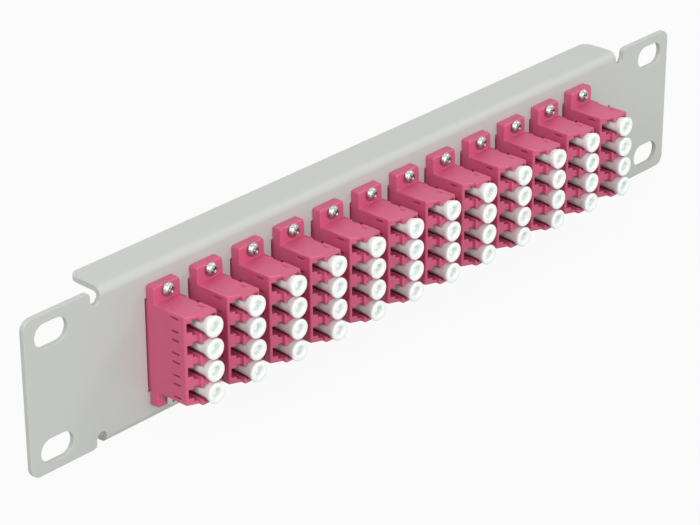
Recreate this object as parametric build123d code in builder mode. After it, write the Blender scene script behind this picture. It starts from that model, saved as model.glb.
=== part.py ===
"""Ten-inch rack panel for fibre cords: a folded sheet that carries twelve four-port adapters.

X runs along the panel, the front faces -Y and Z is up. The origin is the middle of the four rack slots,
on the rear face of the ears, the face that seats on the rack. All sizes are millimetres.
"""

from build123d import *

import os
from math import cos, pi

os.makedirs("parts", exist_ok=True)

# Driving sizes of the folded sheet
slot_spacing_x = 236.525
slot_spacing_z = 31.75
slot_length = 10.6
slot_height = 6.6
slot_to_end = 8.7375
panel_height = 43.6
sheet = 1.5
fold_length = 204.0
fold_depth = 11.8
bend_radius = 2.5
fold_corner = 3.0
ear_outer_corner = 3.0
ear_inner_corner = 1.2
relief_width = 3.4

# Driving sizes of one adapter, where "across" is along X and "tall" is along Z
adapter_count = 12
adapter_pitch = 15.0
body_across = 9.0
body_tall = 25.0
body_length = 28.9
ear_reach = 4.5
ear_thick = 2.9
cover_thick = 0.7
wall = 0.7
step_wall = 0.7
port_count = 4
port_pitch = 6.2
port_size = 4.6

# Driving sizes of a dust cap, a sleeve holder and a screw
cap_stem = 4.4
cap_head = 5.6
cap_dimple = 2.6
holder_outside = 2.7
holder_length = 9.2
holder_plate = 3.0
sleeve_outside = 1.8
sleeve_bore = 1.25
sleeve_length = 6.8
screw_past_body = 2.8
screw_thread = 2.0
screw_head = 3.8
screw_head_height = 1.5

# Small round pieces repeat up to 96 times, so they are made with few flats
cap_sides = 8
bore_sides = 6

# Clearances
cutout_gap_across = 0.4
cutout_gap_tall = 0.75
bore_gap = 0.05

# Where things lie along Y
panel_front = -sheet
ear_front = panel_front - ear_thick
adapter_middle = (ear_front + panel_front) / 2
adapter_front = adapter_middle - body_length / 2
adapter_rear = adapter_middle + body_length / 2
fold_rear = panel_front + fold_depth

# Where things lie across one adapter, from its latch side at -X to the snap-on cover at +X
latch_face = -body_across / 2
cover_face = body_across / 2
cover_seat = cover_face - cover_thick
port_face = cover_seat - port_size
step_face = port_face - step_wall
port_centre = cover_seat - port_size / 2

# Overall sizes that follow
panel_width = slot_spacing_x + 2 * slot_to_end
ear_tall = body_tall + 2 * ear_reach
screw_spacing = body_tall + 2 * screw_past_body

# Ports of one adapter, and the adapters along the panel
port_heights = [port_pitch * (row - (port_count - 1) / 2) for row in range(port_count)]
adapter_places = [adapter_pitch * (column - (adapter_count - 1) / 2) for column in range(adapter_count)]


def write(builder: BuildPart, name: str) -> None:
    """Label one finished piece and write its file."""
    builder.part.label = name
    export_step(builder.part, f"parts/{name}.step")


# Folded sheet: the face and its two rearward folds are shelled out of one rounded block
with BuildPart() as panel:
    with BuildSketch(Plane.XZ.offset(-fold_rear)):
        Rectangle(fold_length, panel_height)
    extrude(amount=fold_rear - panel_front)
    front_edges = panel.faces().sort_by(Axis.Y)[0].edges().filter_by(Axis.X)
    fillet(front_edges, bend_radius)
    open_sides = panel.faces().filter_by(Axis.X) + [panel.faces().sort_by(Axis.Y)[-1]]
    offset(amount=-sheet, openings=open_sides)
    rear_corners = panel.edges().filter_by(Axis.Z).group_by(Axis.Y)[-1]
    fillet(rear_corners, fold_corner)

    # Ears, with the bridge between the two bend reliefs that joins them to the folded face
    ear_width = (panel_width - fold_length) / 2 - relief_width
    relief_radius = relief_width / 2
    relief_centre = fold_length / 2 + relief_radius
    relief_height = panel_height / 2 - bend_radius - sheet + relief_radius
    with BuildSketch(Plane.XZ) as ears:
        with Locations(((panel_width - ear_width) / 2, 0)):
            Rectangle(ear_width, panel_height)
        fillet(ears.vertices().group_by(Axis.X)[0], ear_inner_corner)
        fillet(ears.vertices().group_by(Axis.X)[-1], ear_outer_corner)
        with Locations((relief_centre, 0)):
            Rectangle(relief_width, 2 * relief_height)
        with Locations((relief_centre, relief_height), (relief_centre, -relief_height)):
            Circle(relief_radius, mode=Mode.SUBTRACT)
        mirror(about=Plane.YZ)
    extrude(amount=sheet)

    # Openings in the face: rack slots, adapter cutouts and screw holes
    with BuildSketch(Plane.XZ):
        with GridLocations(slot_spacing_x, slot_spacing_z, 2, 2):
            SlotOverall(slot_length, slot_height)
        with GridLocations(adapter_pitch, 0, adapter_count, 1):
            Rectangle(body_across + 2 * cutout_gap_across, body_tall + 2 * cutout_gap_tall)
        with GridLocations(adapter_pitch, screw_spacing, adapter_count, 2):
            RegularPolygon(screw_thread / 2 + bore_gap, bore_sides)
    extrude(amount=sheet, mode=Mode.SUBTRACT)
write(panel, "panel")

# Adapter housing: half of it is modelled, then mirrored about the middle of its screw ears
front_step = 1.3
front_slant = 1.3
latch_tall = 2.6
latch_deep = 10.5
lip_across = 0.55
lip_length = 6.0
wall_outside = body_tall / 2
port_outside = port_heights[-1] + port_size / 2
wall_thick = wall_outside - port_outside
latch_front = adapter_front + front_step + front_slant
with BuildPart() as housing:
    with BuildSketch(Plane.XY.offset(-wall_outside)):
        with BuildLine():
            Polyline(
                (latch_face, adapter_middle),
                (latch_face, latch_front),
                (step_face, adapter_front + front_step),
                (step_face, adapter_front),
                (cover_seat, adapter_front),
                (cover_seat, adapter_middle),
                close=True,
            )
        make_face()
    extrude(amount=body_tall)

    # Screw ears
    with BuildSketch(Plane.XZ.offset(-adapter_middle)):
        Rectangle(body_across, ear_tall)
        Rectangle(body_across, body_tall, mode=Mode.SUBTRACT)
        with GridLocations(0, screw_spacing, 1, 2):
            RegularPolygon(screw_thread / 2 + bore_gap, bore_sides, mode=Mode.SUBTRACT)
    extrude(amount=ear_thick / 2)

    # Ports: a square opening right through for the plug, and a blind notch beside it for the plug's latch
    with BuildSketch(Plane.XZ.offset(-adapter_middle)):
        for height in port_heights:
            with Locations((port_face, height)):
                Rectangle(port_size, port_size, align=(Align.MIN, Align.CENTER))
    extrude(amount=body_length / 2, mode=Mode.SUBTRACT)
    with BuildSketch(Plane.XZ.offset(-adapter_front - latch_deep)):
        for height in port_heights:
            with Locations((latch_face + wall, height)):
                Rectangle(port_face - latch_face - wall, latch_tall, align=(Align.MIN, Align.CENTER))
    extrude(amount=latch_deep, mode=Mode.SUBTRACT)

    # Seats for the cover's lips at the front end of the top and bottom walls
    with BuildSketch(Plane.XZ.offset(-adapter_front - lip_length)):
        for height in (port_outside, -wall_outside):
            with Locations((cover_seat, height)):
                Rectangle(lip_across, wall_thick, align=(Align.MAX, Align.MIN))
    extrude(amount=lip_length, mode=Mode.SUBTRACT)
    mirror(about=Plane.XZ.offset(-adapter_middle))

# Snap-on cover: a plate over the open side, full height at both ends, with lips over the walls
with BuildPart() as cover:
    with BuildSketch(Plane.YZ.offset(cover_seat)):
        with Locations((adapter_middle, 0)):
            Rectangle(body_length, 2 * port_outside)
            for side in (-1, 1):
                with Locations((side * (body_length - lip_length) / 2, 0)):
                    Rectangle(lip_length, body_tall)
    extrude(amount=cover_thick)
    with BuildSketch(Plane.YZ.offset(cover_seat)):
        with Locations((adapter_middle, 0)):
            with GridLocations(body_length - lip_length, port_outside + wall_outside, 2, 2):
                Rectangle(lip_length, wall_thick)
    extrude(amount=-lip_across)

# Dust cap at the origin, its stem end at y = 0 and its head towards -Y
stem_gap = 0.5
stem_end = adapter_middle - holder_length / 2 - stem_gap
stem_length = stem_end - adapter_front
flare_length = 2.5
dimple_depth = 2.0
side_turn = 360 / cap_sides
flat_share = cos(pi / cap_sides)
with BuildPart() as cap:
    with BuildSketch(Plane.XZ.offset(stem_length)):
        RegularPolygon(cap_head / 2, cap_sides, rotation=side_turn / 2)
    extrude(amount=flare_length)

    # The head flares from the stem: each side is planed to the slope between the two
    flare_step = (cap_head - cap_stem) / 2 * flat_share
    with Locations(Plane.XZ.offset(stem_length)):
        feet_of_sides = PolarLocations(cap_stem / 2 * flat_share, cap_sides).locations
    for foot in feet_of_sides:
        flat = Plane(foot)
        slope = Plane(flat.origin, x_dir=flat.y_dir, z_dir=flat.x_dir * flare_length - flat.z_dir * flare_step)
        split(bisect_by=slope, keep=Keep.BOTTOM)
    with BuildSketch(Plane.XZ):
        RegularPolygon(cap_stem / 2, cap_sides, rotation=side_turn / 2)
    extrude(amount=stem_length)
    with BuildSketch(Plane.XZ.offset(stem_length + flare_length)):
        RegularPolygon(cap_dimple / 2, bore_sides)
    extrude(amount=-dimple_depth, mode=Mode.SUBTRACT)

# Four caps in the ports of the adapter that stands at the middle of the panel
with BuildPart() as front_caps:
    with Locations([(port_centre, stem_end, height) for height in port_heights]):
        add(cap.part)
with BuildPart() as rear_caps:
    add(front_caps.part)
    mirror(about=Plane.XZ.offset(-adapter_middle), mode=Mode.REPLACE)

for number, place in enumerate(adapter_places, start=1):
    pieces = {"housing": housing, "cover": cover, "front_caps": front_caps, "rear_caps": rear_caps}
    for piece_name, piece in pieces.items():
        with BuildPart() as placed:
            with Locations((place, 0, 0)):
                add(piece.part)
        write(placed, f"adapter_{number:02d}_{piece_name}")

# Sleeve holders: a square plate that fills the port, with a tube towards each end for the ceramic sleeve
with BuildPart() as sleeve_holders:
    with BuildSketch(Plane.XZ.offset(-adapter_middle - holder_plate / 2)):
        with Locations((port_centre, 0)):
            with GridLocations(adapter_pitch, port_pitch, adapter_count, port_count):
                Rectangle(port_size, port_size)
    extrude(amount=holder_plate)
    with BuildSketch(Plane.XZ.offset(-adapter_middle - holder_length / 2)):
        with Locations((port_centre, 0)):
            with GridLocations(adapter_pitch, port_pitch, adapter_count, port_count):
                RegularPolygon(holder_outside / 2, bore_sides)
    extrude(amount=holder_length)
    with BuildSketch(Plane.XZ.offset(-adapter_middle - holder_length / 2)):
        with Locations((port_centre, 0)):
            with GridLocations(adapter_pitch, port_pitch, adapter_count, port_count):
                RegularPolygon(sleeve_outside / 2 + bore_gap, bore_sides)
    extrude(amount=holder_length, mode=Mode.SUBTRACT)
write(sleeve_holders, "sleeve_holders")

with BuildPart() as alignment_sleeves:
    with BuildSketch(Plane.XZ.offset(-adapter_middle - sleeve_length / 2)):
        with Locations((port_centre, 0)):
            with GridLocations(adapter_pitch, port_pitch, adapter_count, port_count):
                RegularPolygon(sleeve_outside / 2, bore_sides)
                RegularPolygon(sleeve_bore / 2, bore_sides, mode=Mode.SUBTRACT)
    extrude(amount=sleeve_length)
write(alignment_sleeves, "alignment_sleeves")

# Screws through the adapter ears into the tapped sheet
thread_past_sheet = 1.0
with BuildPart() as adapter_screws:
    with BuildSketch(Plane.XZ.offset(-ear_front)):
        with GridLocations(adapter_pitch, screw_spacing, adapter_count, 2):
            RegularPolygon(screw_head / 2, cap_sides)
    extrude(amount=screw_head_height)
    with BuildSketch(Plane.XZ.offset(-ear_front)):
        with GridLocations(adapter_pitch, screw_spacing, adapter_count, 2):
            RegularPolygon(screw_thread / 2, bore_sides)
    extrude(amount=-(ear_thick + sheet + thread_past_sheet))
write(adapter_screws, "adapter_screws")
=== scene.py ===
"""Looks for a ten-inch fibre patch panel: a painted folded sheet with twelve capped four-port adapters.

Meshes are modelled in millimetres in the row frame, with X along the panel, the front towards -Y and Z up,
and are brought to metres when a piece is finished.
"""

import logging
import math
from collections.abc import Iterable, Sequence
from dataclasses import dataclass, field
from enum import Enum

import bmesh
import bpy
from bmesh.types import BMEdge, BMesh, BMVert
from bpy.types import Material, Node, NodeTree, Object
from mathutils import Matrix, Vector

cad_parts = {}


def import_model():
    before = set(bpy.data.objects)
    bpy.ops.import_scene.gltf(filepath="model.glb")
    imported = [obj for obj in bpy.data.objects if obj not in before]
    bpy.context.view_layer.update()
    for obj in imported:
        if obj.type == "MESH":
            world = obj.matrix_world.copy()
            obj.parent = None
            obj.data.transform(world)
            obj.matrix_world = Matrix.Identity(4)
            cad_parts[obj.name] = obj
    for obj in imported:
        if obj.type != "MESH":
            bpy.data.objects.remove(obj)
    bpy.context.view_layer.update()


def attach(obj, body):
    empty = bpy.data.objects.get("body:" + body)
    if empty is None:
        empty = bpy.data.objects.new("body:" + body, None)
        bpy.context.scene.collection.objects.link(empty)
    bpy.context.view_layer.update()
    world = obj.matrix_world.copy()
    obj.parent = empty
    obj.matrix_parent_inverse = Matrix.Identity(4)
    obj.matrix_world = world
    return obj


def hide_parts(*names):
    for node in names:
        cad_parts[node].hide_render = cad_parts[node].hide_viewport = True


log = logging.getLogger("patch_panel")

ROOT = "panel_body"

# Millimetres to metres, the distance at which vertices merge, and the digits of the grid they are brought to
METRES = 0.001
MERGE_DISTANCE = 1e-4
GRID_DIGITS = 4

# How near a vertex lies to a plane that it belongs to, and how far a cutter stands out of the face it opens
ON_PLANE = 0.01
CUTTER_REACH = 1.0

Point2 = tuple[float, float]
Point3 = tuple[float, float, float]
Colour = tuple[float, float, float]


class Axis(Enum):
    """A direction of the row frame, by its place in a vector."""

    X = 0
    Y = 1
    Z = 2


class Join(Enum):
    """How one shape is combined with another."""

    CUT = "DIFFERENCE"
    ADD = "UNION"


class Slot(Enum):
    """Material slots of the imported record."""

    PAINT = "panel_paint"
    ADAPTER = "adapter_plastic"
    CAP = "cap_plastic"
    SLEEVE = "sleeve_ceramic"
    SCREW = "screw_steel"


# Mesh tools


def block(low: Point3, high: Point3) -> BMesh:
    """Make a solid box.

    Args:
        low: Its lowest corner.
        high: Its highest corner.

    Returns:
        The box as a mesh.
    """
    mesh = bmesh.new()
    bmesh.ops.create_cube(mesh, size=1.0)
    size = Vector(high) - Vector(low)
    bmesh.ops.scale(mesh, vec=size, verts=mesh.verts)
    bmesh.ops.translate(mesh, vec=(Vector(high) + Vector(low)) / 2, verts=mesh.verts)
    return mesh


def prism(outline: Sequence[Point2], axis: Axis, low: float, high: float) -> BMesh:
    """Extrude a flat outline along one axis.

    Args:
        outline: Corners in the two other axes, in alphabetical order.
        axis: Direction of the extrusion.
        low: Where it starts on that axis.
        high: Where it ends.

    Returns:
        The closed prism.
    """
    mesh = bmesh.new()
    points: list[BMVert] = []
    for corner in outline:
        place = list(corner)
        place.insert(axis.value, low)
        points.append(mesh.verts.new(place))
    face = mesh.faces.new(points)
    grown = bmesh.ops.extrude_face_region(mesh, geom=[face])["geom"]
    step = Vector()
    step[axis.value] = high - low
    bmesh.ops.translate(mesh, vec=step, verts=[item for item in grown if isinstance(item, BMVert)])
    bmesh.ops.recalc_face_normals(mesh, faces=mesh.faces)
    return mesh


def turned(profile: Sequence[Point2], steps: int, angle: float = 2 * math.pi) -> BMesh:
    """Turn a profile about the Y axis, as on a lathe.

    Args:
        profile: Points as (radius, place along Y).
        steps: Number of flats round the turn.
        angle: How far the profile is turned.

    Returns:
        The turned shell, closed where the profile is and the turn is full.
    """
    mesh = bmesh.new()
    points = [mesh.verts.new((radius, along, 0.0)) for radius, along in profile]
    lines = [mesh.edges.new(pair) for pair in zip(points, points[1:])]
    full_turn = math.isclose(angle, 2 * math.pi)
    bmesh.ops.spin(
        mesh, geom=points + lines, cent=(0, 0, 0), axis=(0, 1, 0), angle=angle, steps=steps, use_merge=full_turn
    )
    bmesh.ops.remove_doubles(mesh, verts=mesh.verts, dist=MERGE_DISTANCE)
    bmesh.ops.recalc_face_normals(mesh, faces=mesh.faces)
    return mesh


def joined(parts: Iterable[BMesh]) -> BMesh:
    """Put several meshes into one, leaving each shape as it is."""
    whole = bmesh.new()
    for part in parts:
        carrier = bpy.data.meshes.new("carrier")
        part.to_mesh(carrier)
        part.free()
        whole.from_mesh(carrier)
        bpy.data.meshes.remove(carrier)
    return whole


def repeated(part: BMesh, places: Iterable[Point3]) -> BMesh:
    """Copy one mesh to several places and keep only the copies."""
    return joined([shifted(part.copy(), place) for place in places])


def shifted(part: BMesh, by: Point3) -> BMesh:
    """Move a mesh and give it back."""
    bmesh.ops.translate(part, vec=by, verts=part.verts)
    return part


def combined(body: BMesh, tool: BMesh, how: Join) -> BMesh:
    """Add one solid to another, or cut it away.

    Args:
        body: The solid that is worked on.
        tool: The solid that is added or cut away.
        how: Whether to add or to cut.

    Returns:
        The resulting solid.
    """
    objects: list[Object] = []
    for part in (body, tool):
        mesh = bpy.data.meshes.new("work")
        part.to_mesh(mesh)
        part.free()
        item = bpy.data.objects.new("work", mesh)
        bpy.context.scene.collection.objects.link(item)
        objects.append(item)
    modifier = objects[0].modifiers.new("combine", "BOOLEAN")
    modifier.operation = how.value
    modifier.solver = "EXACT"
    modifier.object = objects[1]
    graph = bpy.context.evaluated_depsgraph_get()
    result = bmesh.new()
    result.from_mesh(bpy.data.meshes.new_from_object(objects[0].evaluated_get(graph)))
    for item in objects:
        bpy.data.objects.remove(item)
    bmesh.ops.remove_doubles(result, verts=result.verts, dist=MERGE_DISTANCE)
    return trued(result)


def trued(part: BMesh) -> BMesh:
    """Bring every vertex to a fine grid, so that flat faces are truly flat and each run cuts them alike."""
    for vert in part.verts:
        vert.co = [round(value, GRID_DIGITS) for value in vert.co]
    return part


def bevelled(part: BMesh, edges: Iterable[BMEdge], width: float, segments: int) -> BMesh:
    """Round the given edges."""
    bmesh.ops.bevel(
        part, geom=list(edges), offset=width, offset_type="OFFSET", segments=segments, profile=0.5,
        affect="EDGES", clamp_overlap=False, material=-1,
    )
    return trued(part)


def sharp_edges(part: BMesh, angle: float = 35.0) -> list[BMEdge]:
    """Find the edges where two faces meet at more than the given angle in degrees."""
    limit = math.radians(angle)
    return [edge for edge in part.edges if len(edge.link_faces) == 2 and edge.calc_face_angle(0.0) > limit]


def softened(part: BMesh, width: float, segments: int = 2) -> BMesh:
    """Round every sharp edge of a closed shape, as moulding does."""
    return bevelled(part, sharp_edges(part), width, segments)


def edges_along(part: BMesh, axis: Axis, share: float = 0.999) -> list[BMEdge]:
    """Find the edges whose length lies along one axis, to at least the given share."""
    found: list[BMEdge] = []
    for edge in part.edges:
        run = edge.verts[1].co - edge.verts[0].co
        if abs(run[axis.value]) > share * run.length:
            found.append(edge)
    return found


@dataclass(frozen=True)
class Span:
    """A stretch along one axis."""

    low: float
    high: float

    @property
    def middle(self) -> float:
        """Half way along."""
        return (self.low + self.high) / 2


# Finishes


@dataclass(frozen=True)
class Finish:
    """What every surface finish has: a name, a base colour and a roughness."""

    name: str
    colour: Colour
    roughness: float

    def base(self) -> tuple[Material, NodeTree, Node]:
        """Start a material with this finish's constants on its shader."""
        material = bpy.data.materials.new(self.name)
        material.use_nodes = True
        tree = material.node_tree
        shader = tree.nodes["Principled BSDF"]
        shader.inputs["Base Color"].default_value = (*self.colour, 1.0)
        shader.inputs["Roughness"].default_value = self.roughness
        material.diffuse_color = (*self.colour, 1.0)
        return material, tree, shader

    def noise(self, tree: NodeTree, grain: float, detail: float = 3.0) -> Node:
        """Add a noise pattern on object coordinates.

        Args:
            tree: The material's nodes.
            grain: Size of one speck in millimetres.
            detail: Octaves of finer noise.

        Returns:
            The noise node.
        """
        place = tree.nodes.new("ShaderNodeTexCoord")
        pattern = tree.nodes.new("ShaderNodeTexNoise")
        pattern.inputs["Scale"].default_value = 1.0 / (grain * METRES)
        pattern.inputs["Detail"].default_value = detail
        tree.links.new(place.outputs["Object"], pattern.inputs["Vector"])
        return pattern

    def tint(self, tree: NodeTree, shader: Node, pattern: Node, spread: float) -> None:
        """Let a pattern lighten and darken the base colour a little.

        Args:
            tree: The material's nodes.
            shader: The shader that takes the colour.
            pattern: The noise that drives it.
            spread: Share by which the colour goes up and down.
        """
        ramp = tree.nodes.new("ShaderNodeMix")
        ramp.data_type = "RGBA"
        darker = [channel * (1 - spread) for channel in self.colour]
        lighter = [min(1.0, channel * (1 + spread)) for channel in self.colour]
        ramp.inputs["A"].default_value = (*darker, 1.0)
        ramp.inputs["B"].default_value = (*lighter, 1.0)
        tree.links.new(pattern.outputs["Fac"], ramp.inputs["Factor"])
        tree.links.new(ramp.outputs["Result"], shader.inputs["Base Color"])

    def relief(self, tree: NodeTree, shader: Node, pattern: Node, depth: float, strength: float) -> None:
        """Let a pattern raise and lower the surface.

        Args:
            tree: The material's nodes.
            shader: The shader that takes the relief.
            pattern: The noise that drives it.
            depth: Height of the relief in millimetres.
            strength: Share of it that shows.
        """
        bump = tree.nodes.new("ShaderNodeBump")
        bump.inputs["Strength"].default_value = strength
        bump.inputs["Distance"].default_value = depth * METRES
        tree.links.new(pattern.outputs["Fac"], bump.inputs["Height"])
        tree.links.new(bump.outputs["Normal"], shader.inputs["Normal"])

    def gloss(self, tree: NodeTree, shader: Node, pattern: Node, spread: float) -> None:
        """Let a pattern vary the roughness about this finish's own value."""
        span = tree.nodes.new("ShaderNodeMapRange")
        span.inputs["To Min"].default_value = self.roughness - spread
        span.inputs["To Max"].default_value = self.roughness + spread
        tree.links.new(pattern.outputs["Fac"], span.inputs["Value"])
        tree.links.new(span.outputs["Result"], shader.inputs["Roughness"])


@dataclass(frozen=True)
class PowderCoat(Finish):
    """Baked paint on sheet metal: a fine orange peel with a faint cloudiness."""

    specular: float = 0.4
    peel: float = 0.55
    peel_depth: float = 0.02
    peel_share: float = 0.35
    cloud: float = 38.0
    cloud_detail: float = 2.0
    cloud_tint: float = 0.02
    cloud_gloss: float = 0.05

    def material(self) -> Material:
        """Build the paint."""
        material, tree, shader = self.base()
        shader.inputs["Specular IOR Level"].default_value = self.specular
        peel = self.noise(tree, self.peel)
        cloud = self.noise(tree, self.cloud, self.cloud_detail)
        self.tint(tree, shader, cloud, self.cloud_tint)
        self.gloss(tree, shader, cloud, self.cloud_gloss)
        self.relief(tree, shader, peel, self.peel_depth, self.peel_share)
        return material


@dataclass(frozen=True)
class MouldedPlastic(Finish):
    """Injection-moulded plastic: a satin spark texture with slight flow marks."""

    grain: float = 0.22
    glow: float = 0.0
    glow_reach: Point3 = (1.0, 0.9, 0.8)
    glow_scale: float = 0.8
    refraction: float = 1.5
    grain_depth: float = 0.008
    grain_share: float = 0.3
    flow: float = 6.0
    flow_detail: float = 2.0
    flow_tint: float = 0.035
    flow_gloss: float = 0.06

    def material(self) -> Material:
        """Build the plastic."""
        material, tree, shader = self.base()
        shader.inputs["IOR"].default_value = self.refraction
        if self.glow > 0:
            shader.inputs["Subsurface Weight"].default_value = self.glow
            shader.inputs["Subsurface Radius"].default_value = self.glow_reach
            shader.inputs["Subsurface Scale"].default_value = self.glow_scale * METRES
        grain = self.noise(tree, self.grain)
        flow = self.noise(tree, self.flow, self.flow_detail)
        self.tint(tree, shader, flow, self.flow_tint)
        self.gloss(tree, shader, flow, self.flow_gloss)
        self.relief(tree, shader, grain, self.grain_depth, self.grain_share)
        return material


@dataclass(frozen=True)
class PlatedSteel(Finish):
    """Bright plated steel with fine turning marks and a few dull specks."""

    mark: float = 0.12
    mark_depth: float = 0.001
    mark_share: float = 0.2
    speck: float = 1.4
    speck_detail: float = 2.0
    speck_tint: float = 0.05
    speck_gloss: float = 0.06

    def material(self) -> Material:
        """Build the metal."""
        material, tree, shader = self.base()
        shader.inputs["Metallic"].default_value = 1.0
        marks = self.noise(tree, self.mark)
        specks = self.noise(tree, self.speck, self.speck_detail)
        self.tint(tree, shader, specks, self.speck_tint)
        self.gloss(tree, shader, specks, self.speck_gloss)
        self.relief(tree, shader, marks, self.mark_depth, self.mark_share)
        return material


@dataclass(frozen=True)
class Zirconia(Finish):
    """Ground white ceramic."""

    coat: float = 0.3
    grain: float = 0.3
    grain_tint: float = 0.02
    grain_depth: float = 0.002
    grain_share: float = 0.2

    def material(self) -> Material:
        """Build the ceramic."""
        material, tree, shader = self.base()
        shader.inputs["Coat Weight"].default_value = self.coat
        grain = self.noise(tree, self.grain)
        self.tint(tree, shader, grain, self.grain_tint)
        self.relief(tree, shader, grain, self.grain_depth, self.grain_share)
        return material


def srgb(red: int, green: int, blue: int) -> Colour:
    """Turn a colour as a screen shows it into the linear values that shaders take."""
    out = [value / 12.92 if value <= 0.04045 else ((value + 0.055) / 1.055) ** 2.4
           for value in (red / 255, green / 255, blue / 255)]
    return (out[0], out[1], out[2])


@dataclass
class Finishes:
    """The five finishes of the panel, each made once and shared."""

    paint: Material = field(init=False)
    violet: Material = field(init=False)
    white: Material = field(init=False)
    steel: Material = field(init=False)
    ceramic: Material = field(init=False)

    def __post_init__(self) -> None:
        self.paint = PowderCoat("light_grey_powder_coat", srgb(189, 192, 187), 0.45).material()
        self.violet = MouldedPlastic("heather_violet_moulding", srgb(201, 86, 120), 0.36).material()
        self.white = MouldedPlastic("white_cap_moulding", srgb(240, 245, 242), 0.38, grain=0.3, glow=0.12).material()
        self.steel = PlatedSteel("plated_steel", srgb(178, 180, 178), 0.3).material()
        self.ceramic = Zirconia("ground_zirconia", srgb(236, 234, 226), 0.18).material()


@dataclass
class Piece:
    """A finished mesh of the dressed panel and what it stands for."""

    name: str
    mesh: BMesh
    material: Material
    slot: Slot
    node: str
    body: str = ROOT
    smooth_angle: float = 40.0

    def place(self) -> Object:
        """Bring the mesh to metres, make its object and let it stand for its CAD node.

        Returns:
            The object in the scene.
        """
        bmesh.ops.scale(self.mesh, vec=(METRES,) * 3, verts=self.mesh.verts)
        data = bpy.data.meshes.new(self.name)
        self.mesh.to_mesh(data)
        self.mesh.free()
        data.materials.append(self.material)
        data.shade_smooth()
        data.set_sharp_from_angle(angle=math.radians(self.smooth_angle))
        item = bpy.data.objects.new(self.name, data)
        bpy.context.scene.collection.objects.link(item)
        weights = item.modifiers.new("even_shading", "WEIGHTED_NORMAL")
        weights.keep_sharp = True
        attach(item, self.body)
        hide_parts(self.node)
        log.info("%s: %d faces", self.name, len(data.polygons))
        return item


# Sub-assemblies


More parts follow.
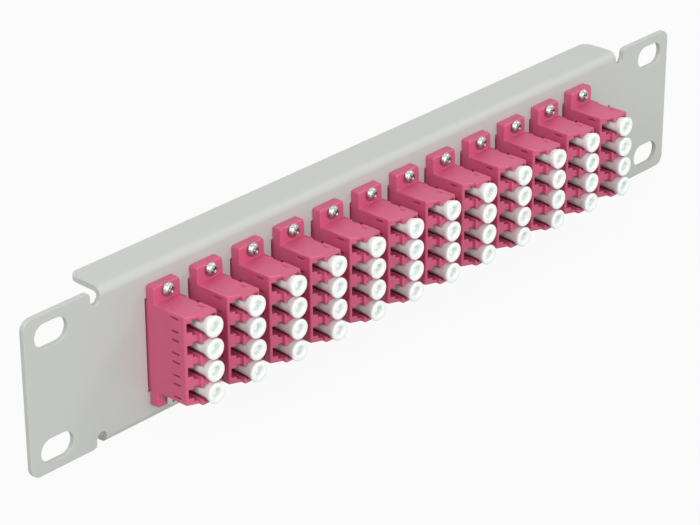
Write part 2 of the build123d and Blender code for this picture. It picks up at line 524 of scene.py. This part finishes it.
@dataclass
class FoldedPanel:
    """The painted sheet: a slotted ear at each end and a face with two rearward folds."""

    # Sheet, ears and folds
    width: float = 254.0
    height: float = 43.6
    sheet: float = 1.5
    fold_length: float = 204.0
    fold_rear: float = 10.3
    bend: float = 2.5
    ear_corner: float = 3.0
    inner_corner: float = 1.2
    relief: float = 3.4

    # Openings, as sizes and spacings along X and Z
    slot: Point2 = (10.6, 6.6)
    slot_spacing: Point2 = (236.525, 31.75)
    cutout: Point2 = (9.8, 26.5)
    adapters: Sequence[float] = ()

    # Rounding of the painted edges, how near the bend's ends it stops, and the flats in each round
    paint_edge: float = 0.22
    cusp: float = 0.4
    edge_steps: int = 3
    bend_steps: int = 10
    corner_steps: int = 8
    ear_corner_steps: int = 10
    inner_corner_steps: int = 6
    slot_steps: int = 12

    @property
    def relief_height(self) -> float:
        """Height of the round end of each bend relief, which reaches one sheet's thickness past the bend."""
        return self.height / 2 - self.bend - self.sheet + self.relief / 2

    def folded(self) -> BMesh:
        """Bend the face and its two folds from one sheet and give it its thickness."""
        mesh = bmesh.new()
        top = self.height / 2
        side = [(self.fold_rear, top), (-self.sheet, top), (-self.sheet, -top), (self.fold_rear, -top)]
        half = self.fold_length / 2
        points = [mesh.verts.new((-half, y, z)) for y, z in side]
        lines = [mesh.edges.new(pair) for pair in zip(points, points[1:])]
        drawn = bmesh.ops.extrude_edge_only(mesh, edges=lines)["geom"]
        ends = [item for item in drawn if isinstance(item, BMVert)]
        bmesh.ops.translate(mesh, vec=(self.fold_length, 0, 0), verts=ends)
        bmesh.ops.recalc_face_normals(mesh, faces=mesh.faces)
        folds = [edge for edge in edges_along(mesh, Axis.X) if len(edge.link_faces) == 2]
        bevelled(mesh, folds, self.bend, self.bend_steps)
        front = min(mesh.faces, key=lambda face: face.calc_center_median().y)
        inward = self.sheet if front.normal.y > 0 else -self.sheet
        bmesh.ops.solidify(mesh, geom=mesh.faces, thickness=-inward)
        bmesh.ops.recalc_face_normals(mesh, faces=mesh.faces)
        rear = [edge for edge in edges_along(mesh, Axis.Z) if edge.verts[0].co.y > self.fold_rear - ON_PLANE]
        return bevelled(mesh, rear, self.ear_corner, self.corner_steps)

    def ear(self, side: int) -> BMesh:
        """Cut one ear from sheet, with small inner corners and larger outer ones."""
        outer = side * self.width / 2
        inner = side * (self.fold_length / 2 + self.relief)
        low, high = sorted((outer, inner))
        ear = block((low, -self.sheet, -self.height / 2), (high, 0, self.height / 2))
        through = edges_along(ear, Axis.Y)
        at_end = [edge for edge in through if abs(edge.verts[0].co.x - outer) < ON_PLANE]
        at_fold = [edge for edge in through if abs(edge.verts[0].co.x - inner) < ON_PLANE]
        bevelled(ear, at_end, self.ear_corner, self.ear_corner_steps)
        bevelled(ear, [edge for edge in at_fold if edge.is_valid], self.inner_corner, self.inner_corner_steps)
        return ear

    def rounded_hole(self, centre: Point2, size: Point2, steps: int) -> BMesh:
        """Make the cutter for a slot or round hole.

        Args:
            centre: Its middle, as X and Z.
            size: Its length along X and along Z.
            steps: Number of flats in each quarter of a round end.

        Returns:
            A block through the sheet with fully round ends, a hair short of meeting in one edge.
        """
        across, tall = size[0] / 2, size[1] / 2
        cutter = block(
            (centre[0] - across, -2 * self.sheet, centre[1] - tall), (centre[0] + across, self.sheet, centre[1] + tall)
        )
        hair = 0.001
        return bevelled(cutter, edges_along(cutter, Axis.Y), min(across, tall) - hair, steps)

    def mesh(self) -> BMesh:
        """Join the folded face and the ears, and cut every opening."""
        body = self.folded()
        reach = self.fold_length / 2 + self.relief
        relief_height = self.relief_height
        for side in (-1, 1):
            body = combined(body, self.ear(side), Join.ADD)
            low, high = sorted((side * (reach - self.relief), side * reach))
            bridge = block((low, -self.sheet, -relief_height), (high, 0, relief_height))
            body = combined(body, bridge, Join.ADD)
        centre = self.fold_length / 2 + self.relief / 2
        holes = [
            self.rounded_hole((side * centre, rise * relief_height), (self.relief, self.relief), self.corner_steps)
            for side in (-1, 1) for rise in (-1, 1)
        ]
        slot_across, slot_tall = self.slot_spacing[0] / 2, self.slot_spacing[1] / 2
        holes += [
            self.rounded_hole((side * slot_across, rise * slot_tall), self.slot, self.slot_steps)
            for side in (-1, 1) for rise in (-1, 1)
        ]
        across, tall = self.cutout[0] / 2, self.cutout[1] / 2
        holes += [
            block((place - across, -2 * self.sheet, -tall), (place + across, self.sheet, tall))
            for place in self.adapters
        ]
        body = combined(body, joined(holes), Join.CUT)
        sharp = [edge for edge in sharp_edges(body) if not self.at_cusp(edge)]
        return bevelled(body, sharp, self.paint_edge, self.edge_steps)

    def at_cusp(self, edge: BMEdge) -> bool:
        """Tell whether an edge ends on the bend's end face, where the relief runs out too thin to round."""
        height = self.relief_height - self.relief / 2 + self.cusp
        bend_end = self.bend - self.sheet + 0.1
        for vert in edge.verts:
            past_fold = abs(vert.co.x) - self.fold_length / 2
            near_end = min(abs(past_fold), abs(past_fold - self.relief)) < self.cusp
            if near_end and abs(vert.co.z) > height and vert.co.y < bend_end:
                return True
        return False

    def dress(self, finishes: Finishes) -> None:
        """Place the painted sheet."""
        Piece("panel_sheet", self.mesh(), finishes.paint, Slot.PAINT, "panel").place()


@dataclass
class Adapter:
    """One four-port adapter: a moulded housing with screw ears, and a snap-on cover on its right side."""

    # Body, from the latch side at -X to the cover at +X, with its stepped and slanted ends
    across: Span = Span(-4.5, 4.5)
    along: Span = Span(-17.4, 11.5)
    half_tall: float = 12.5
    seat: float = 3.8
    step_face: float = -1.5
    step: float = 1.3
    slant: float = 1.3

    # Screw ears
    ears: Span = Span(-4.4, -1.5)
    half_ears: float = 17.0
    ear_root: float = 0.2
    ear_corner: float = 0.6
    ear_corner_steps: int = 4

    # Ports, each with a gate, a shoulder and a latch notch towards the latch side
    port_count: int = 4
    pitch: float = 6.2
    port: Span = Span(-0.8, 3.8)
    half_port: float = 2.3
    gate: Span = Span(-1.44, -0.8)
    half_gate: float = 1.62
    shoulder: Span = Span(-2.5, -1.44)
    half_shoulder: float = 2.14
    notch: Span = Span(-3.85, -2.5)
    half_notch: float = 1.28
    latch_deep: float = 9.5

    # Lips of the cover, and their seats in the housing
    lip: float = 0.55
    lip_length: float = 6.0
    lip_gap: float = 0.03
    lip_corner: float = 0.45
    lip_corner_steps: int = 4
    ear_lip_length: float = 3.3
    ear_play: float = 0.05
    seat_past_port: float = 0.06

    # Slits in the latch side: behind the front face, away from the port's middle, and deep
    slit_along: Span = Span(4.6, 7.3)
    slit_rise: float = 1.85
    half_slit: float = 0.28
    slit_deep: float = 1.1

    # Grooves in the top and bottom walls, vents and ear gaps at the cover, across from the cover's seat
    groove_along: Span = Span(3.1, 5.0)
    groove_across: Span = Span(-1.35, -0.82)
    groove_deep: float = 0.4
    vent_across: Span = Span(-0.2, 0.38)
    vent_deep: float = 1.2
    half_vent: float = 0.45
    gap_across: Span = Span(-0.2, 0.24)
    gap_length: float = 2.4
    gap_deep: float = 0.45

    # Ridges on the top and bottom walls, inset from the latch side and from the cover's seat
    ridge_height: float = 0.05
    ridge_inset: Point2 = (1.7, 1.6)

    # Rounded edges, and how far cutters stand proud of the walls
    outer_edge: float = 0.38
    cover_edge_share: float = 0.9
    edge_steps: int = 3
    moulded_edge: float = 0.1
    proud: float = 0.6

    @property
    def ports(self) -> list[float]:
        """Heights of the ports."""
        return [self.pitch * (row - (self.port_count - 1) / 2) for row in range(self.port_count)]

    @property
    def outside_ports(self) -> float:
        """Height of the outermost port wall."""
        return self.ports[-1] + self.half_port

    @property
    def ear_notch(self) -> Span:
        """Stretch along Y of the notch in the cover that the screw ears stand in."""
        return Span(self.ears.low - self.ear_play, self.ears.high + self.ear_play)

    def both_ends(self, along: Span, across: Span, tall: Span) -> list[BMesh]:
        """Make a box near the front end and its mirror image near the rear end.

        Args:
            along: Its stretch behind the front face.
            across: Its stretch along X.
            tall: Its stretch along Z.

        Returns:
            The two boxes.
        """
        front, rear = self.along.low, self.along.high
        return [
            block((across.low, front + along.low, tall.low), (across.high, front + along.high, tall.high)),
            block((across.low, rear - along.high, tall.low), (across.high, rear - along.low, tall.high)),
        ]

    def latch_way(self, height: float) -> list[Point2]:
        """Outline of one port as seen from the front: latch notch, shoulder, gate and plug opening."""
        upper = [
            (self.notch.low, self.half_notch),
            (self.notch.high, self.half_notch),
            (self.shoulder.low, self.half_shoulder),
            (self.shoulder.high, self.half_shoulder),
            (self.gate.low, self.half_gate),
            (self.gate.high, self.half_gate),
            (self.port.low, self.half_port),
            (self.port.high + self.proud, self.half_port),
        ]
        lower = [(across, -tall) for across, tall in reversed(upper)]
        return [(across, height + tall) for across, tall in upper + lower]

    def housing(self) -> BMesh:
        """Mould the housing and core out its ports."""
        front, rear = self.along.low, self.along.high
        body = prism(
            [
                (self.seat, front),
                (self.step_face, front),
                (self.step_face, front + self.step),
                (self.across.low, front + self.step + self.slant),
                (self.across.low, rear - self.step - self.slant),
                (self.step_face, rear - self.step),
                (self.step_face, rear),
                (self.seat, rear),
            ],
            Axis.Z,
            -self.half_tall,
            self.half_tall,
        )
        for side in (-1, 1):
            low, high = sorted((side * (self.half_tall - self.ear_root), side * self.half_ears))
            ear = block((self.across.low, self.ears.low, low), (self.across.high, self.ears.high, high))
            outer = [edge for edge in edges_along(ear, Axis.Y) if abs(edge.verts[0].co.z) > self.half_tall]
            bevelled(ear, outer, self.ear_corner, self.ear_corner_steps)
            body = combined(body, ear, Join.ADD)
        bmesh.ops.dissolve_limit(body, angle_limit=0.01, verts=body.verts, edges=body.edges)
        outside = [edge for edge in sharp_edges(body) if self.is_outside(edge)]
        body = bevelled(body, outside, self.outer_edge, self.edge_steps)
        front_way = Span(front - CUTTER_REACH, front + self.latch_deep)
        rear_way = Span(rear - self.latch_deep, rear + CUTTER_REACH)
        for way in (front_way, rear_way):
            ways = [prism(self.latch_way(height), Axis.Y, way.low, way.high) for height in self.ports]
            body = combined(body, joined(ways), Join.CUT)
        bores = [
            block((self.port.low, front - CUTTER_REACH, height - self.half_port),
                  (self.port.high + self.proud, rear + CUTTER_REACH, height + self.half_port))
            for height in self.ports
        ]
        body = combined(body, joined(bores), Join.CUT)
        for cutters in (self.slits(), self.lip_seats(), self.grooves()):
            body = combined(body, joined(cutters), Join.CUT)
        body = softened(body, self.moulded_edge)
        return combined(body, joined(self.ridges()), Join.ADD)

    def is_outside(self, edge: BMEdge) -> bool:
        """Tell whether an edge lies outside on the housing, on an ear or away from the cover's seat."""
        off_seat = max(vert.co.x for vert in edge.verts) < self.seat - ON_PLANE
        on_ear = min(abs(vert.co.z) for vert in edge.verts) > self.half_tall + ON_PLANE
        return off_seat or on_ear

    def ridges(self) -> list[BMesh]:
        """Faint moulded ridges across the top and bottom walls, each fading out towards the end of the adapter."""
        front, rear = self.along.low, self.along.high
        rise = [(5.3, -0.2), (5.3, -0.05), (5.1, self.ridge_height), (2.1, -0.02), (2.1, -0.2)]
        ridges: list[BMesh] = []
        for side in (-1, 1):
            for end, inward in ((front, 1), (rear, -1)):
                outline = [(end + inward * along, side * (self.half_tall + height)) for along, height in rise]
                low, high = self.across.low + self.ridge_inset[0], self.seat - self.ridge_inset[1]
                ridges.append(prism(outline, Axis.X, low, high))
        return ridges

    def slits(self) -> list[BMesh]:
        """Cutters for the two narrow slits beside each port, in the latch side."""
        cutters: list[BMesh] = []
        overlap = 0.5
        across = Span(self.across.low - overlap, self.across.low + self.slit_deep)
        for height in self.ports:
            for rise in (-self.slit_rise, self.slit_rise):
                slit = Span(height + rise - self.half_slit, height + rise + self.half_slit)
                cutters += self.both_ends(self.slit_along, across, slit)
        return cutters

    def lip_seats(self) -> list[BMesh]:
        """Cutters for the seats of the cover's lips, in the top and bottom walls."""
        cutters: list[BMesh] = []
        for side in (-1, 1):
            inner, outer = self.outside_ports - self.seat_past_port, self.half_tall + self.proud
            low, high = sorted((side * inner, side * outer))
            seat = Span(self.seat - self.lip, self.seat + self.proud)
            cutters += self.both_ends(Span(-self.proud, self.lip_length), seat, Span(low, high))
        return cutters

    def grooves(self) -> list[BMesh]:
        """Cutters for the short snap grooves inboard of the cover's lips."""
        cutters: list[BMesh] = []
        for side in (-1, 1):
            low, high = sorted((side * (self.half_tall - self.groove_deep), side * (self.half_tall + self.proud)))
            groove = Span(self.seat + self.groove_across.low, self.seat + self.groove_across.high)
            cutters += self.both_ends(self.groove_along, groove, Span(low, high))
        return cutters

    def cover_outline(self) -> list[Point2]:
        """Outline of the cover as seen from its side, notched between its lips and round the screw ears."""
        front, rear = self.along.low, self.along.high
        tall, inner, length = self.half_tall, self.outside_ports, self.lip_length
        ears = self.ear_notch
        half = [
            (front, tall), (front + length, tall), (front + length, inner),
            (ears.low - self.ear_lip_length, inner), (ears.low - self.ear_lip_length, tall), (ears.low, tall),
            (ears.low, inner), (ears.high, inner), (ears.high, tall),
            (ears.high + self.ear_lip_length, tall), (ears.high + self.ear_lip_length, inner),
            (rear - length, inner), (rear - length, tall), (rear, tall),
        ]
        return half + [(along, -height) for along, height in reversed(half)]

    def cover(self) -> BMesh:
        """Mould the cover with its lips, the vents in its ends and the gaps beside the screw ears."""
        body = prism(self.cover_outline(), Axis.X, self.seat, self.across.high)
        lip_ends = [edge for edge in edges_along(body, Axis.X) if self.at_lip_end(edge)]
        body = bevelled(body, lip_ends, self.lip_corner, self.lip_corner_steps)
        outside = [edge for edge in sharp_edges(body)
                   if min(vert.co.x for vert in edge.verts) > self.across.high - ON_PLANE]
        body = bevelled(body, outside, self.cover_edge_share * self.outer_edge, self.edge_steps)
        overlap = 0.2
        across = Span(self.seat - self.lip + self.lip_gap, self.seat + overlap)
        for side in (-1, 1):
            low, high = sorted((side * self.outside_ports, side * self.half_tall))
            for lip in self.both_ends(Span(0, self.lip_length), across, Span(low, high)):
                body = combined(body, lip, Join.ADD)
        for cutters in (self.vents(), self.ear_gaps()):
            body = combined(body, joined(cutters), Join.CUT)
        return softened(body, self.moulded_edge)

    def vents(self) -> list[BMesh]:
        """Cutters for the small vents in the cover's ends, one between each two ports."""
        cutters: list[BMesh] = []
        across = Span(self.seat + self.vent_across.low, self.seat + self.vent_across.high)
        for low, high in zip(self.ports, self.ports[1:]):
            height = (low + high) / 2
            tall = Span(height - self.half_vent, height + self.half_vent)
            cutters += self.both_ends(Span(-CUTTER_REACH, self.vent_deep), across, tall)
        return cutters

    def ear_gaps(self) -> list[BMesh]:
        """Cutters for the narrow gaps between the cover and the housing beside each screw ear."""
        cutters: list[BMesh] = []
        ears, overlap = self.ear_notch, 0.1
        before = Span(ears.low - self.gap_length, ears.low + overlap)
        behind = Span(ears.high - overlap, ears.high + self.gap_length)
        across = Span(self.seat + self.gap_across.low, self.seat + self.gap_across.high)
        for side in (-1, 1):
            low, high = sorted((side * (self.half_tall - self.gap_deep), side * (self.half_tall + self.proud)))
            for along in (before, behind):
                cutters.append(block((across.low, along.low, low), (across.high, along.high, high)))
        return cutters

    def at_lip_end(self, edge: BMEdge) -> bool:
        """Tell whether an edge is the outer corner at a lip's inner end."""
        place, margin = edge.verts[0].co, 0.1
        at_top = abs(place.z) > self.half_tall - ON_PLANE
        return at_top and self.along.low + margin < place.y < self.along.high - margin


@dataclass
class DustCap:
    """A turned-looking cap: a plain stem in the port and a flared head with a rounded rim and a blind hole."""

    stem: float = 2.16
    stem_end: float = -8.05
    mouth: float = -17.4
    face: float = -19.9
    head: float = 2.83
    hole: float = 1.25
    steps: int = 28

    def profile(self) -> list[Point2]:
        """Radius and place along Y, from the stem's inner end round to the bottom of the hole."""
        return [
            (0.0, self.stem_end),
            (self.stem - 0.3, self.stem_end),
            (self.stem, self.stem_end - 0.35),
            (self.stem, self.mouth + 3.6),
            (self.stem + 0.1, self.mouth + 0.25),
            (self.stem + 0.24, self.mouth - 0.25),
            (self.stem + 0.38, self.mouth - 0.8),
            (self.stem + 0.53, self.mouth - 1.3),
            (self.head - 0.06, self.mouth - 1.7),
            (self.head, self.face + 0.45),
            (self.head - 0.04, self.face + 0.25),
            (self.head - 0.14, self.face + 0.09),
            (self.head - 0.32, self.face),
            (self.hole + 0.55, self.face + 0.01),
            (self.hole + 0.28, self.face + 0.1),
            (self.hole + 0.08, self.face + 0.3),
            (self.hole - 0.04, self.face + 0.6),
            (self.hole - 0.14, self.face + 1.7),
            (self.hole - 0.45, self.face + 2.0),
            (0.0, self.face + 2.1),
        ]

    def mesh(self) -> BMesh:
        """Turn the cap about the Y axis through the origin."""
        return turned(self.profile(), self.steps)


@dataclass
class PanScrew:
    """A small pan-head screw with a cross recess, driven through an adapter ear into the sheet."""

    seat: float = -4.4
    head: float = 1.9
    head_height: float = 1.5
    thread: float = 1.0
    tip: float = 1.0
    pitch: float = 0.4
    recess: Point3 = (1.15, 0.27, 0.85)
    steps: int = 28

    def mesh(self) -> BMesh:
        """Turn the screw and cut the cross into its head."""
        top = self.seat - self.head_height
        profile = [
            (0.0, top), (0.7, top + 0.02), (1.2, top + 0.12), (1.58, top + 0.33), (1.8, top + 0.62),
            (self.head, top + 0.9), (self.head, self.seat - 0.32), (self.head - 0.3, self.seat),
            (self.thread, self.seat),
        ]
        turns = int((self.tip - self.seat - 0.4) / self.pitch)
        for turn in range(turns):
            start = self.seat + 0.2 + turn * self.pitch
            profile += [(self.thread, start), (self.thread - 0.18, start + self.pitch / 2)]
        profile += [(self.thread - 0.05, self.tip - 0.2), (self.thread - 0.3, self.tip), (0.0, self.tip)]
        body = turned(profile, self.steps)
        long, narrow, deep = self.recess
        outline = [(-long, top - 0.2), (long, top - 0.2), (0.6 * long, top + deep), (-0.6 * long, top + deep)]
        for angle in (45.0, 135.0):
            slot = prism(outline, Axis.Z, -narrow, narrow)
            bmesh.ops.rotate(slot, matrix=Matrix.Rotation(math.radians(angle), 3, "Y"), verts=slot.verts)
            body = combined(body, slot, Join.CUT)
        return body


@dataclass
class SleeveHolder:
    """A moulded plate that fills the port, with a tube towards each end for the ceramic sleeve."""

    middle: float = -2.95
    port: float = 4.6
    plate: float = 3.0
    tube: float = 1.35
    bore: float = 0.93
    length: float = 9.2
    steps: int = 20

    def mesh(self) -> BMesh:
        """Make the plate with a through bore and the two tubes."""
        half, low, high = self.port / 2, self.middle - self.plate / 2, self.middle + self.plate / 2
        start, end = self.middle - self.length / 2, self.middle + self.length / 2
        plate = block((-half, low, -half), (half, high, half))
        tube = turned([(0.0, start), (self.tube - 0.15, start), (self.tube, start + 0.2),
                       (self.tube, end - 0.2), (self.tube - 0.15, end), (0.0, end)], self.steps)
        body = combined(plate, tube, Join.ADD)
        bore = turned([(0.0, start - CUTTER_REACH), (self.bore + 0.3, start - 0.1), (self.bore, start + 0.25),
                       (self.bore, end - 0.25), (self.bore + 0.3, end + 0.1), (0.0, end + CUTTER_REACH)], self.steps)
        return combined(body, bore, Join.CUT)


@dataclass
class SplitSleeve:
    """A ceramic alignment sleeve with the narrow slit that lets it spring open."""

    middle: float = -2.95
    outside: float = 0.9
    inside: float = 0.625
    length: float = 6.8
    slit: float = 0.25
    steps: int = 16

    def mesh(self) -> BMesh:
        """Turn the sleeve nearly full round and close its two slit faces."""
        low, high = self.middle - self.length / 2, self.middle + self.length / 2
        ring = [(self.inside, low), (self.outside, low), (self.outside, high), (self.inside, high), (self.inside, low)]
        sleeve = turned(ring, self.steps, 2 * math.pi - self.slit / self.outside)
        bmesh.ops.holes_fill(sleeve, edges=sleeve.edges, sides=4)
        bmesh.ops.recalc_face_normals(sleeve, faces=sleeve.faces)
        return sleeve


@dataclass
class AdapterRow:
    """Twelve adapters side by side, with their caps, screws, sleeve holders and sleeves."""

    count: int = 12
    pitch: float = 15.0
    screw_height: float = 15.3
    port_centre: float = 1.5
    adapter: Adapter = field(default_factory=Adapter)

    @property
    def places(self) -> list[float]:
        """Centres of the adapters along X."""
        return [self.pitch * (column - (self.count - 1) / 2) for column in range(self.count)]

    def port_places(self, place: float = 0.0) -> list[Point3]:
        """Centres of one adapter's ports."""
        return [(place + self.port_centre, 0.0, height) for height in self.adapter.ports]

    def dress(self, finishes: Finishes) -> None:
        """Build each kind of piece once and place its copies."""
        housing, cover = self.adapter.housing(), self.adapter.cover()
        front_caps = repeated(DustCap().mesh(), self.port_places())
        rear_caps = self.turned_round(front_caps)
        for number, place in enumerate(self.places, start=1):
            at = (place, 0.0, 0.0)
            tag = f"{number:02d}"
            for kind, shape, finish, slot, body in (
                ("housing", housing, finishes.violet, Slot.ADAPTER, ROOT),
                ("cover", cover, finishes.violet, Slot.ADAPTER, ROOT),
                ("front_caps", front_caps, finishes.white, Slot.CAP, f"front_caps_{tag}"),
                ("rear_caps", rear_caps, finishes.white, Slot.CAP, f"rear_caps_{tag}"),
            ):
                Piece(f"{kind}_{tag}", shifted(shape.copy(), at), finish, slot, f"adapter_{tag}_{kind}", body).place()
        heads = [(place, 0.0, rise * self.screw_height) for place in self.places for rise in (-1, 1)]
        ports = [spot for place in self.places for spot in self.port_places(place)]
        screws = repeated(PanScrew().mesh(), heads)
        Piece("cross_recess_screws", screws, finishes.steel, Slot.SCREW, "adapter_screws").place()
        holders = repeated(SleeveHolder().mesh(), ports)
        Piece("port_sleeve_holders", holders, finishes.violet, Slot.ADAPTER, "sleeve_holders").place()
        sleeves = repeated(SplitSleeve().mesh(), ports)
        Piece("split_sleeves", sleeves, finishes.ceramic, Slot.SLEEVE, "alignment_sleeves").place()

    def turned_round(self, front: BMesh) -> BMesh:
        """Mirror the front caps about the middle of the adapter, so that they stand in the rear ports."""
        rear = front.copy()
        middle = self.adapter.along.middle
        bmesh.ops.translate(rear, vec=(0, -middle, 0), verts=rear.verts)
        bmesh.ops.scale(rear, vec=(1, -1, 1), verts=rear.verts)
        bmesh.ops.translate(rear, vec=(0, middle, 0), verts=rear.verts)
        bmesh.ops.recalc_face_normals(rear, faces=rear.faces)
        return rear


# Stage, lights and camera


@dataclass(frozen=True)
class SoftLamp:
    """A square soft lamp that faces the panel, in metres and watts."""

    name: str
    place: Point3
    size: float
    power: float

    def hang(self, aim: Point3) -> None:
        """Put the lamp in the scene and turn it to a point."""
        data = bpy.data.lights.new(self.name, "AREA")
        data.shape = "SQUARE"
        data.size = self.size
        data.energy = self.power
        item = bpy.data.objects.new(self.name, data)
        item.location = self.place
        item.rotation_euler = (Vector(aim) - Vector(self.place)).to_track_quat("-Z", "Y").to_euler()
        bpy.context.scene.collection.objects.link(item)


@dataclass
class Studio:
    """A white floor, soft lamps and the camera at the photograph's angle."""

    floor_height: float = -21.85
    aim: Point3 = (0.0, -0.005, 0.0)
    azimuth: float = -47.196
    elevation: float = 26.438
    roll: float = -0.292
    distance: float = 755.718
    slide: Point2 = (-8.449, -7.94)
    origin_shift: float = -1.5
    lens: float = 143.675
    ambient: float = 0.38
    floor_tone: float = 0.4
    floor_white: float = 0.94
    lamps: tuple[SoftLamp, ...] = (
        SoftLamp("side_lamp", (-1.3, -0.3, 0.9), 0.7, 9.5),
        SoftLamp("front_lamp", (-0.25, -1.7, 0.5), 0.9, 16.5),
        SoftLamp("top_lamp", (0.1, 0.1, 1.7), 0.8, 4.0),
        SoftLamp("rear_lamp", (0.25, 1.7, 0.25), 0.9, 9.0),
        SoftLamp("right_rim_lamp", (0.98, -0.66, 0.9), 0.3, 3.0),
        SoftLamp("left_rim_lamp", (-0.65, 0.9, 0.95), 0.35, 3.0),
    )

    def floor(self) -> None:
        """Lay a wide white floor that looks white to the camera and still takes a soft shadow."""
        mesh = bmesh.new()
        bmesh.ops.create_circle(mesh, cap_ends=True, segments=96, radius=6.0)
        bmesh.ops.translate(mesh, vec=(0, 0, self.floor_height * METRES), verts=mesh.verts)
        data = bpy.data.meshes.new("studio_floor")
        mesh.to_mesh(data)
        mesh.free()
        item = bpy.data.objects.new("studio_floor", data)
        bpy.context.scene.collection.objects.link(item)
        material = bpy.data.materials.new("studio_white")
        material.use_nodes = True
        tree = material.node_tree
        shader = tree.nodes["Principled BSDF"]
        shader.inputs["Base Color"].default_value = (self.floor_tone, self.floor_tone, self.floor_tone, 1.0)
        shader.inputs["Roughness"].default_value = 0.9
        glow = tree.nodes.new("ShaderNodeEmission")
        mix = tree.nodes.new("ShaderNodeMixShader")
        tree.links.new(self.seen_rays(tree, self.floor_white), mix.inputs["Fac"])
        tree.links.new(shader.outputs["BSDF"], mix.inputs[1])
        tree.links.new(glow.outputs["Emission"], mix.inputs[2])
        tree.links.new(mix.outputs["Shader"], tree.nodes["Material Output"].inputs["Surface"])
        data.materials.append(material)

    def seen_rays(self, tree: NodeTree, share: float) -> bpy.types.NodeSocket:
        """Give the share of white for rays from the camera or through gloss and glass, and none for others."""
        path = tree.nodes.new("ShaderNodeLightPath")
        total = path.outputs["Is Camera Ray"]
        for name in ("Is Glossy Ray", "Is Transmission Ray"):
            add = tree.nodes.new("ShaderNodeMath")
            add.operation = "MAXIMUM"
            tree.links.new(total, add.inputs[0])
            tree.links.new(path.outputs[name], add.inputs[1])
            total = add.outputs["Value"]
        scale = tree.nodes.new("ShaderNodeMath")
        scale.operation = "MULTIPLY"
        scale.inputs[1].default_value = share
        tree.links.new(total, scale.inputs[0])
        return scale.outputs["Value"]

    def world(self) -> None:
        """Fill the surroundings with a plain soft light that is seen and mirrored as white."""
        world = bpy.data.worlds.new("studio")
        bpy.context.scene.world = world
        world.use_nodes = True
        tree = world.node_tree
        background = tree.nodes["Background"]
        background.inputs["Color"].default_value = (1.0, 1.0, 1.0, 1.0)
        strength = tree.nodes.new("ShaderNodeMath")
        strength.inputs[1].default_value = self.ambient
        tree.links.new(self.seen_rays(tree, 1.0 - self.ambient), strength.inputs[0])
        tree.links.new(strength.outputs["Value"], background.inputs["Strength"])

    def camera(self) -> None:
        """Stand the camera where the photograph was taken."""
        turn, lift, roll = (math.radians(value) for value in (self.azimuth, self.elevation, self.roll))
        back = Vector((math.sin(turn) * math.cos(lift), -math.cos(turn) * math.cos(lift), math.sin(lift)))
        level = Vector((0, 0, 1)).cross(back).normalized()
        upright = back.cross(level)
        right = math.cos(roll) * level + math.sin(roll) * upright
        up = -math.sin(roll) * level + math.cos(roll) * upright
        place = right * self.slide[0] + up * self.slide[1] + back * self.distance + Vector((0, self.origin_shift, 0))
        data = bpy.data.cameras.new("photo_view")
        data.lens = self.lens
        data.sensor_width = 36.0
        data.clip_start, data.clip_end = 0.01, 50.0
        item = bpy.data.objects.new("photo_view", data)
        columns = Matrix((right, up, back)).transposed().to_4x4()
        item.matrix_world = Matrix.Translation(place * METRES) @ columns
        bpy.context.scene.collection.objects.link(item)
        bpy.context.scene.camera = item

    def build(self) -> None:
        """Set the whole stage."""
        self.floor()
        self.world()
        for lamp in self.lamps:
            lamp.hang(self.aim)
        self.camera()
        bpy.context.scene.view_settings.view_transform = "Standard"


def main() -> None:
    """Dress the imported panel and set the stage."""
    logging.basicConfig(level=logging.INFO, format="%(name)s %(message)s")
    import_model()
    finishes = Finishes()
    row = AdapterRow()
    FoldedPanel(adapters=row.places).dress(finishes)
    row.dress(finishes)
    Studio().build()


if __name__ == "__main__":
    main()
